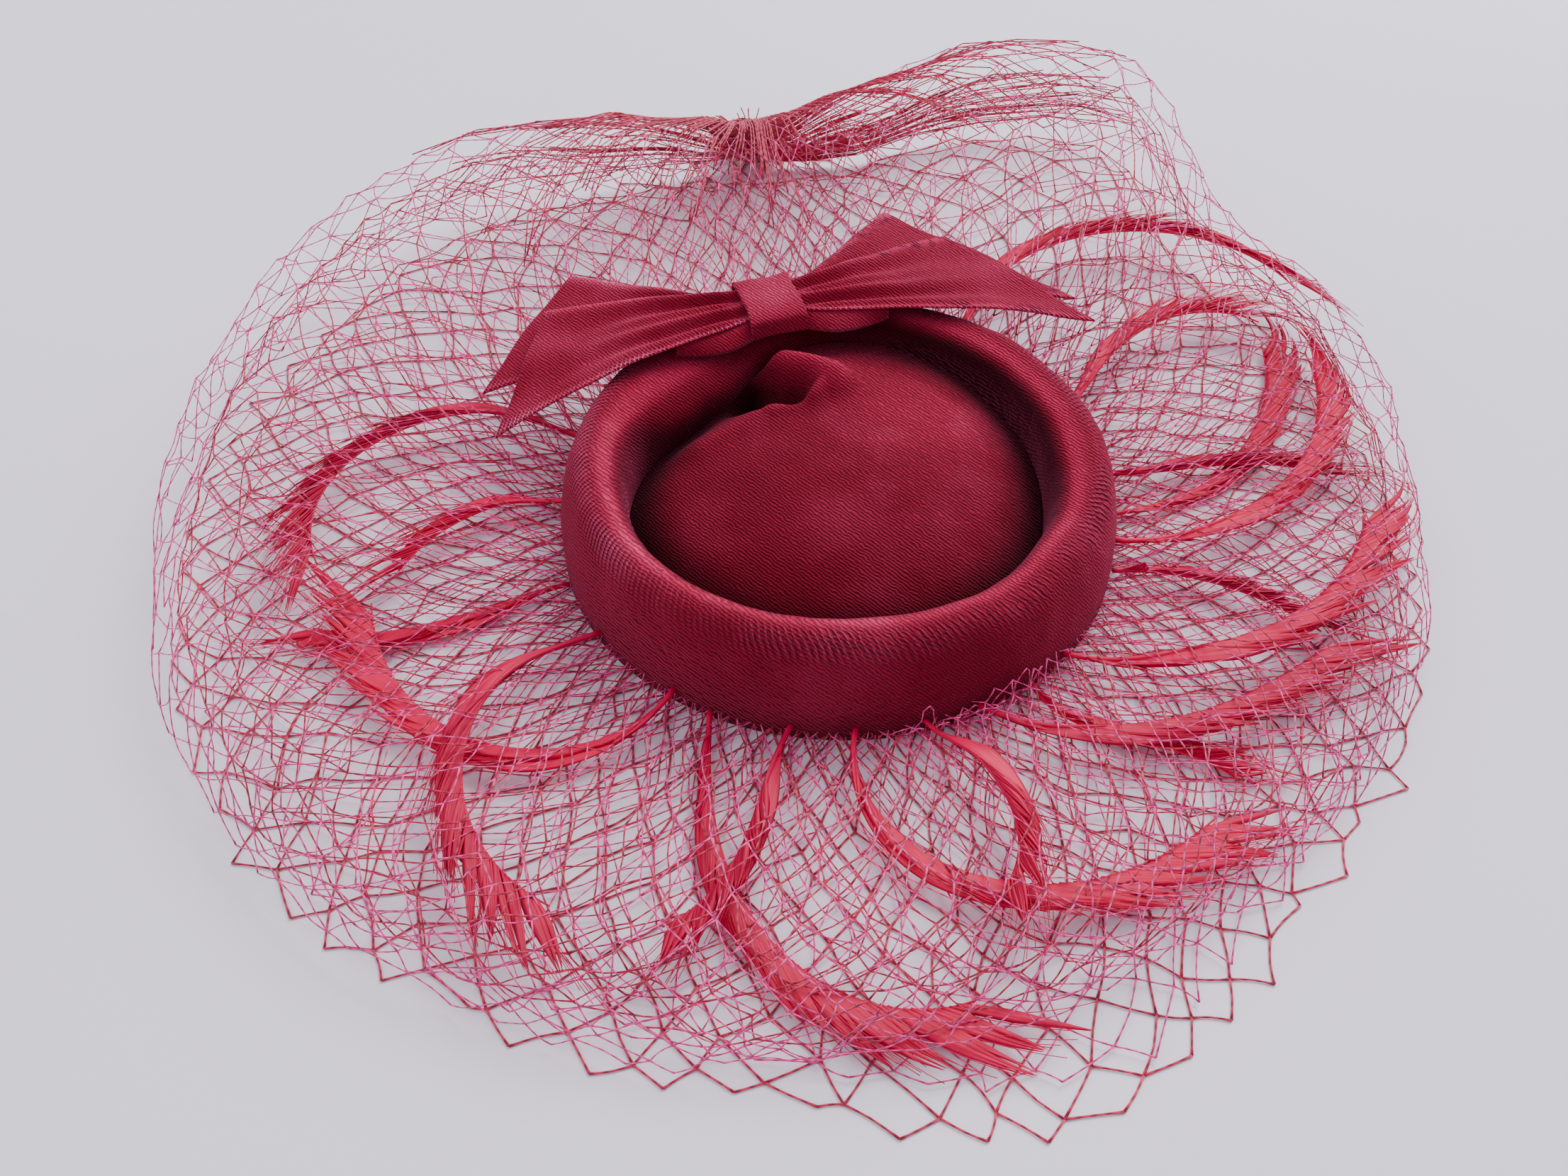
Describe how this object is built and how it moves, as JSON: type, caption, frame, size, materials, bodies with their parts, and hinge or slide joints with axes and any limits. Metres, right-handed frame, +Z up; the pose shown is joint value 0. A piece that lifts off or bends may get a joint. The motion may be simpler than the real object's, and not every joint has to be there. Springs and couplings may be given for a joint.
{
  "type": "pillbox hat",
  "caption": "Small velvet pillbox hat with a rolled brim, a domed pleated crown, a flat bow, curled feathers and a wide puffed net veil, lying on its foot.",
  "frame": {"origin": "middle of the underside of the whole part, on the surface it lies on", "axes": "+Z up out of the crown, -Y towards the front of the veil, +X to the right in the picture"},
  "size_m": [0.43, 0.4638, 0.0629],
  "materials": {
    "brim_velvet": "velvet, pile ribbed along the seams",
    "crown_velvet": "velvet with a fine twill",
    "ribbon_velvet": "velvet ribbon with a satin back",
    "feather": "dyed feather with glossy barbs",
    "net": "open net of twisted thread"
  },
  "bodies": {
    "root": {"brim": "brim_velvet", "crown": "crown_velvet", "bow_knot": "ribbon_velvet", "bow_tail_right_top": "ribbon_velvet", "bow_tail_right_under": "ribbon_velvet", "bow_tail_left_top": "ribbon_velvet", "bow_tail_left_under": "ribbon_velvet", "feather_01": "feather", "feather_02": "feather", "feather_03": "feather", "feather_04": "feather", "feather_05": "feather", "feather_06": "feather", "feather_07": "feather", "feather_08": "feather", "feather_09": "feather", "feather_10": "feather", "feather_11": "feather", "feather_12": "feather", "feather_13": "feather", "feather_14": "feather", "feather_15": "feather", "feather_16": "feather", "feather_17": "feather", "feather_18": "feather", "veil_upper": "net", "veil_lower": "net", "veil_knot": "net"}
  },
  "joints": []
}
